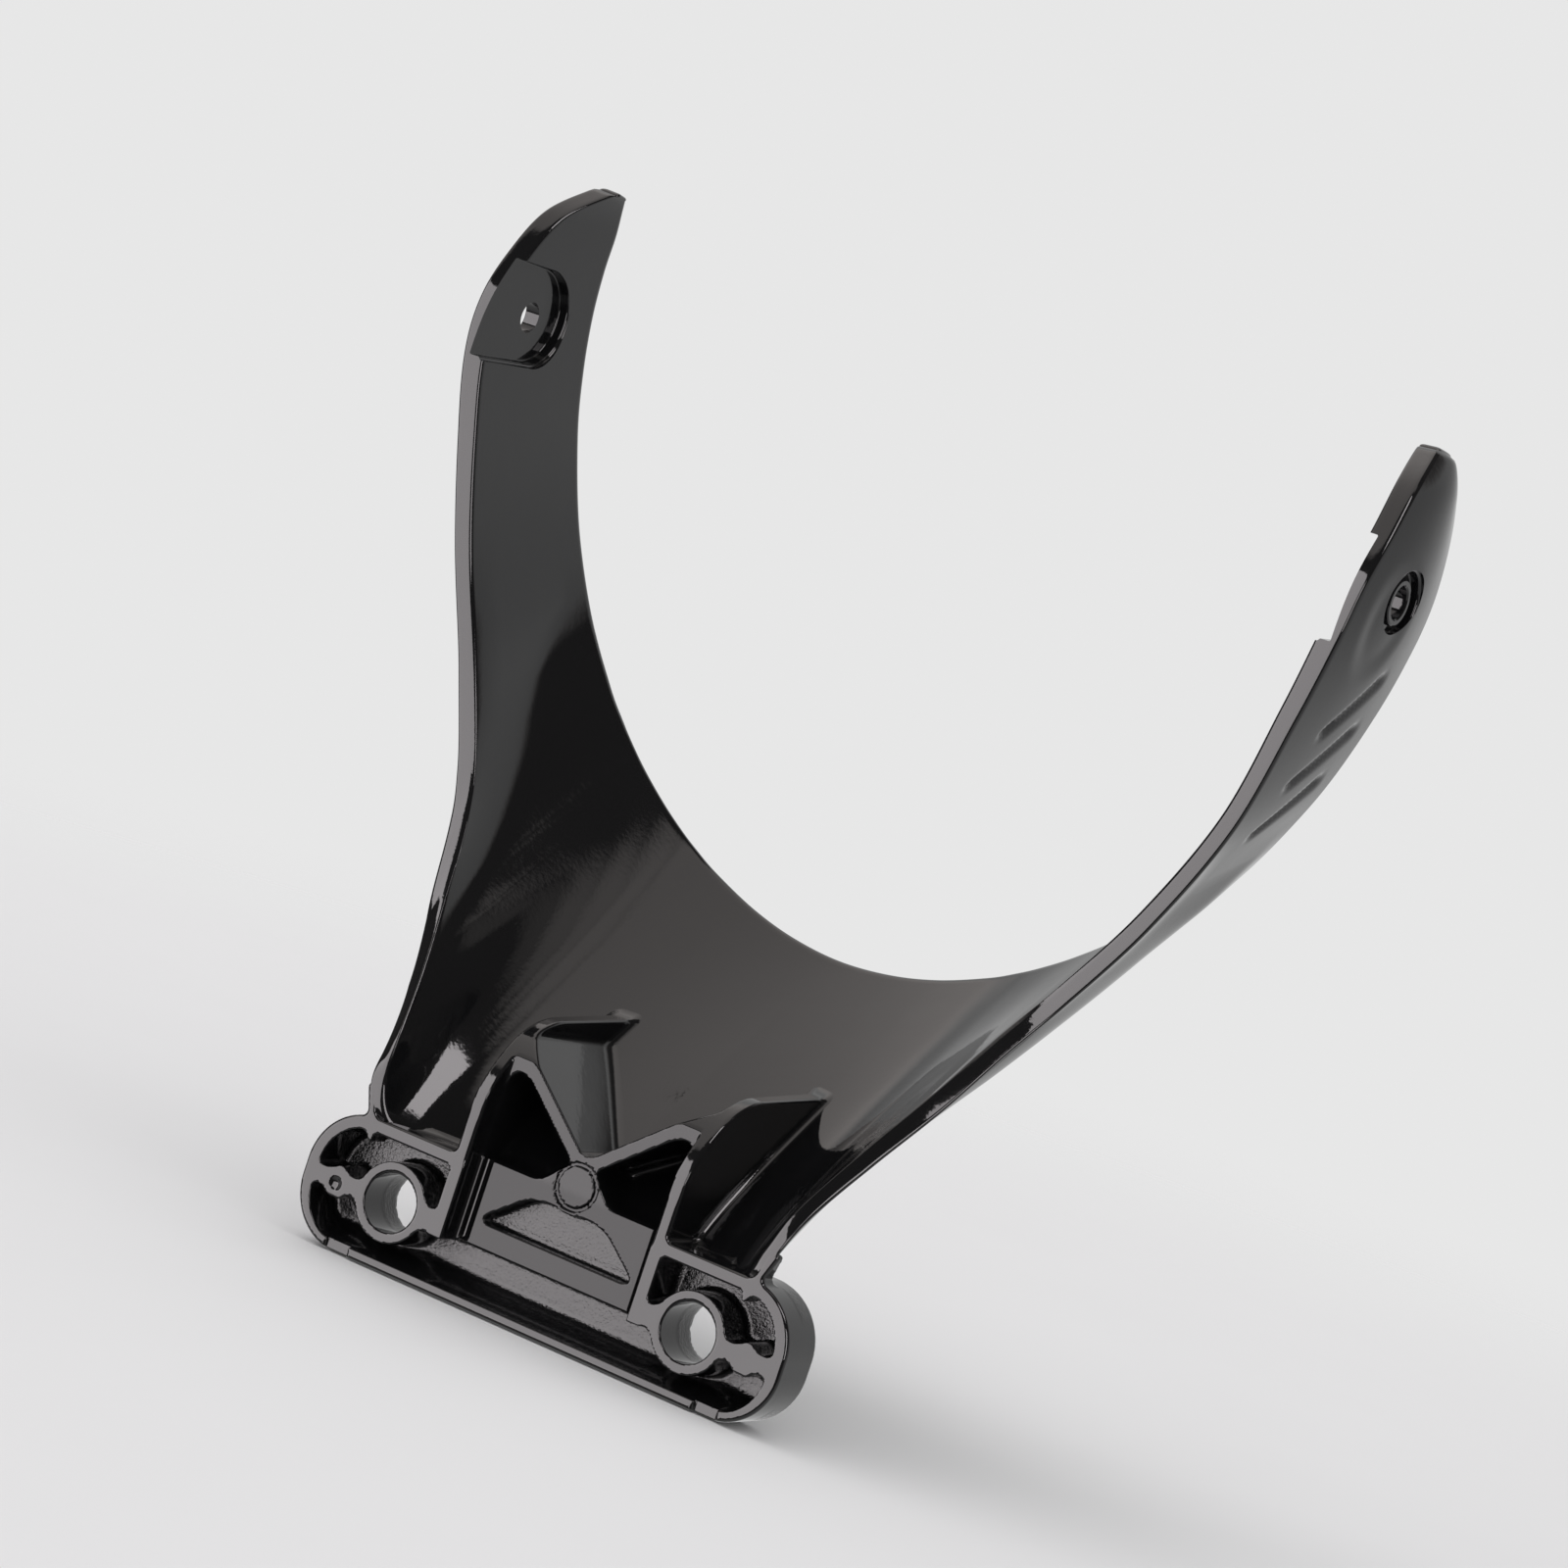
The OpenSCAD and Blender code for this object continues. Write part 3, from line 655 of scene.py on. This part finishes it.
class Wire:
    # a shader socket that can be used in Python expressions
    def __init__(self, tree, socket=None):
        self.tree, self.socket = tree, socket

    def node(self, kind, inputs=(), output=0, **settings):
        # adds a node, sets its properties, then links or sets its inputs
        made = self.tree.nodes.new(kind)
        for key, value in settings.items():
            setattr(made, key, value)
        for key, value in dict(inputs).items():
            if isinstance(value, Wire):
                self.tree.links.new(value.socket, made.inputs[key])
            else:
                made.inputs[key].default_value = value
        return Wire(self.tree, made.outputs[output] if made.outputs else None)

    def math(self, operation, *values):
        return self.node("ShaderNodeMath", dict(enumerate(values)), operation=operation)

    def __add__(self, other): return self.math("ADD", self, other)
    def __radd__(self, other): return self.math("ADD", other, self)
    def __sub__(self, other): return self.math("SUBTRACT", self, other)
    def __rsub__(self, other): return self.math("SUBTRACT", other, self)
    def __mul__(self, other): return self.math("MULTIPLY", self, other)
    def __rmul__(self, other): return self.math("MULTIPLY", other, self)
    def __pow__(self, other): return self.math("POWER", self, other)
    def __rpow__(self, other): return self.math("POWER", other, self)
    def __abs__(self): return self.math("ABSOLUTE", self)

    def high(self, other): return self.math("MAXIMUM", self, other)

    def step(self, low, high):
        # 0 below low, 1 above high, smooth between
        span = {0: self, 1: low, 2: high, 3: 0.0, 4: 1.0}
        return self.node("ShaderNodeMapRange", span, interpolation_type="SMOOTHSTEP")

    def noise(self, size, detail=2.0, rough=0.5):
        # cloudy noise of a feature size in millimetres, 0 to 1; self is a place
        cloud = {"Vector": self, "Scale": 1 / size, "Detail": detail, "Roughness": rough}
        return self.node("ShaderNodeTexNoise", cloud)

    def parts(self):
        # x, y and z of a vector
        outputs = self.node("ShaderNodeSeparateXYZ", {0: self}).socket.node.outputs
        return [Wire(self.tree, socket) for socket in outputs]

    def blend(self, low, high):
        # colour low at 0 and colour high at 1; each is three numbers
        ends = {"Factor": self, 6: (*low, 1), 7: (*high, 1)}
        return self.node("ShaderNodeMix", ends, output=2, data_type="RGBA")


def newSurface(name):
    # an empty material, and the place on the piece in millimetres
    material = bpy.data.materials.new(name)
    material.use_nodes = True
    material.node_tree.nodes.clear()
    start = Wire(material.node_tree)
    place = start.node("ShaderNodeTexCoord", output="Object")
    return material, start.node("ShaderNodeVectorMath", {0: place, "Scale": 1000.0}, operation="SCALE")


paint = {
    "colour": (0.0055, 0.0055, 0.006), "refraction": 1.47, "roughness": 0.055, "wear": 0.05, "pocketWear": 0.084,
    # heights in millimetres: slow waves of the casting, the paint's orange peel, grain in the foot's pockets
    "castWave": 0.03, "orangePeel": 0.008, "grain": 0.13,
    # weaker reflection on the recessed plate: its reflection level and how much of it is mixed over the gloss
    "plateReflectionLevel": 0.22, "weakPlateShare": 0.62,
}


def glossPaint():
    """Gloss black: one colour all over; roughness = gloss + cloudy wear + pocket grain; normal = bump of casting
    waves + orange peel + grain inside the pockets; on the plate and its struts a copy with weaker reflection is mixed
    in."""
    material, place = newSurface("blackPaint")
    x, y, z = place.parts()
    ax = abs(x)
    # pockets: behind the bolted face, inside the foot's walls
    pocket = y.step(5.2, 6.6) * (1 - y.step(9.6, 10.2)) * (1 - ax.step(45.0, 46.5))
    pocket = pocket * z.step(-10.4, -9.4) * (1 - z.step(11.0, 12.0))
    height = place.noise(9.0, 1.0) * paint["castWave"] + place.noise(0.9, 1.0) * paint["orangePeel"]
    height = height + place.noise(0.45, 2.0, 0.6) * pocket * paint["grain"]
    coat = {
        "Base Color": (*paint["colour"], 1), "IOR": paint["refraction"],
        "Roughness": paint["roughness"] + (place.noise(14.0) - 0.5) * paint["wear"] + pocket * paint["pocketWear"],
        "Normal": height.node("ShaderNodeBump", {"Height": height, "Distance": 0.001, "Strength": 1.0}),
    }
    gloss = place.node("ShaderNodeBsdfPrincipled", coat)
    # a copy of the gloss with weaker reflection, mixed in on the recessed plate and its struts
    weakerGloss = place.node("ShaderNodeBsdfPrincipled", {**coat, "Specular IOR Level": paint["plateReflectionLevel"]})
    plate = y.step(4.0, 4.25) * (1 - y.step(4.9, 5.3)) * (1 - ax.step(18.3, 18.9)) * (1 - z.step(36.0, 40.0))
    share = plate * paint["weakPlateShare"] * (1 - 0.35 * z.step(12.0, 13.5))
    mixed = place.node("ShaderNodeMixShader", {0: share, 1: gloss, 2: weakerGloss})
    place.node("ShaderNodeOutputMaterial", {"Surface": mixed})
    return material


paintSurface = glossPaint()
for piece in (cradlePiece, footPiece):
    piece.data.materials.append(paintSurface)
print("paint made")

# camera, lights and floor
room = {
    "backdrop": 0.80, "soft": 0.9, "dark": 0.09, "ceilingTint": (1.05, 0.985, 0.955), "lampTint": (1.02, 0.97, 0.99),
    # white table in the reflections: its radiance, the way up from it, and its soft horizon
    "table": 0.70, "tableUp": (0, -0.741, 0.672), "horizon": (-0.11, 0.07),
    # round patches of the ceiling: azimuth from +Y towards +X, elevation, radius and softness in degrees, radiance
    "patches": [
        (-75, 58, 36, 3, 1.2), (0, 90, 14.5, 4, 1.2), (82, 73, 4.6, 3.6, 1.15), (77, 66, 4, 3.3, 0.95),
        (74, 60, 3.6, 3.2, 0.72), (71, 55, 3.0, 2.8, 0.35),
    ],
    "shades": [(-82, 0, 30, 6, 0.09)],
    # lamps: azimuth, elevation, distance in millimetres, width, height, turn in degrees, radiance
    "windows": [
        (-155, 7, 1300, 2150, 1820, 0, 5.4), (105, 54, 1300, 560, 400, 46, 7.7), (125, 12, 1300, 460, 700, 0, 7.0),
    ],
    "key": (-112, 64, 1300, 1000, 900, 0, 0.72), "aim": (0, 12, 20),
    "floorLevel": -11.62, "floorY": 30, "floorReach": 900, "floorFade": (260, 620),
    "floorColour": (0.785, 0.782, 0.788), "floorGrain": 0.985, "floorRoughness": 0.9,
}


def towards(azimuth, elevation):
    # unit direction for an azimuth from +Y towards +X and an elevation, in degrees
    a, e = np.radians(azimuth), np.radians(elevation)
    return Vector((np.sin(a) * np.cos(e), np.cos(a) * np.cos(e), np.sin(e)))


def roundPatch(toward, azimuth, elevation, radius, soft):
    # 1 inside a round patch of the room, soft at its edge, 0 outside; toward is the x, y, z of a direction
    centre = towards(azimuth, elevation)
    near = toward[0] * centre.x + toward[1] * centre.y + toward[2] * centre.z
    outer, inner = np.cos(np.radians([radius + soft, max(0.5, radius - soft)]))
    return near.step(float(outer), float(inner))


def makeRoom():
    """World: the camera sees the plain backdrop; reflections see a white table below the table's own
    horizon, round pale patches of ceiling, and a dark room elsewhere."""
    world = bpy.data.worlds.new("room")
    bpy.context.scene.world = world
    world.use_nodes = True
    world.node_tree.nodes.clear()
    start = Wire(world.node_tree)
    toward = start.node("ShaderNodeTexCoord", output="Generated").parts()
    x, y, z = toward
    level = x * 0 + room["dark"]
    for *place, radiance in room["patches"]:
        level = level.high(roundPatch(toward, *place) * radiance)
    up = room["tableUp"]
    table = 1 - (x * up[0] + y * up[1] + z * up[2]).step(*room["horizon"])
    level = level + table * (room["table"] - level)
    for *place, radiance in room["shades"]:
        level = level + roundPatch(toward, *place) * (radiance - level)
    camera = start.node("ShaderNodeLightPath", output="Is Camera Ray")
    glossy = start.node("ShaderNodeLightPath", output="Is Glossy Ray")
    strength = room["soft"] + glossy * (level - room["soft"]) + camera * (room["backdrop"] - room["soft"])
    colour = table.high(1 - glossy).blend(room["ceilingTint"], (1, 1, 1))
    background = start.node("ShaderNodeBackground", {"Color": colour, "Strength": strength})
    start.node("ShaderNodeOutputWorld", {"Surface": background})


def makeLamp(name, lamp):
    # a softbox facing the aim point, set to a radiance relative to white
    azimuth, elevation, distance, width, height, turn, radiance = lamp
    width, height = width * millimetre, height * millimetre
    data = bpy.data.lights.new(name, "AREA")
    data.shape = "RECTANGLE"
    data.size, data.size_y = width, height
    data.energy = radiance * np.pi * width * height
    data.color = room["lampTint"]
    piece = bpy.data.objects.new(name, data)
    direction = towards(azimuth, elevation)
    piece.location = Vector(room["aim"]) * millimetre + direction * distance * millimetre
    facing = direction.to_track_quat("Z", "Y").to_matrix() @ Matrix.Rotation(np.radians(-turn), 3, "Z")
    piece.rotation_euler = facing.to_euler()
    bpy.context.scene.collection.objects.link(piece)
    return piece


def makeFloor():
    """Floor: a level square, pale with a faint cloud, its alpha 1 near the bracket and 0 far from it."""
    corners = np.array([(-1, -1, 0), (1, -1, 0), (1, 1, 0), (-1, 1, 0)]) * room["floorReach"]
    plane = makeMesh("floor", corners + [0, room["floorY"], room["floorLevel"]], np.array([[0, 1, 2, 3]]))
    material, place = newSurface("floorSurface")
    x, y, z = place.parts()
    away = (x * x + (y - room["floorY"]) * (y - room["floorY"])) ** 0.5
    cloudy = [c * room["floorGrain"] for c in room["floorColour"]]
    shader = place.node("ShaderNodeBsdfPrincipled", {
        "Base Color": place.noise(40.0).blend(room["floorColour"], cloudy), "Roughness": room["floorRoughness"],
        "Specular IOR Level": 0.0, "Alpha": 1 - away.step(*room["floorFade"]),
    })
    place.node("ShaderNodeOutputMaterial", {"Surface": shader})
    plane.data.materials.append(material)
    plane.visible_glossy = False
    return plane


makeRoom()
for number, window in enumerate(room["windows"]):
    makeLamp(f"window{number}", window).visible_diffuse = False  # seen only in the paint
makeLamp("key", room["key"]).visible_glossy = False  # lights only the floor and the paint's base
floorPiece = makeFloor()
print("room made")


# the photograph's viewing angle
cameraView = {
    "position": (396.4, -714.4, 139.9),
    "right": (0.8276, 0.4649, 0.3149), "up": (-0.3069, -0.0945, 0.9472), "forward": (-0.4698, 0.8808, -0.0646),
    "focalPixels": 5183.8, "imagePixels": 1600,
}


def makeCamera():
    data = bpy.data.cameras.new("camera")
    camera = bpy.data.objects.new("camera", data)
    bpy.context.scene.collection.objects.link(camera)
    back = [-f for f in cameraView["forward"]]
    axes = Matrix([cameraView["right"], cameraView["up"], back]).transposed()
    camera.matrix_world = Matrix.Translation(Vector(cameraView["position"]) * millimetre) @ axes.to_4x4()
    data.sensor_fit = "HORIZONTAL"
    data.sensor_width = 36
    data.lens = data.sensor_width * cameraView["focalPixels"] / cameraView["imagePixels"]
    data.clip_start, data.clip_end = 0.01, 20
    bpy.context.scene.camera = camera


makeCamera()
bpy.context.scene.view_settings.view_transform = "Standard"
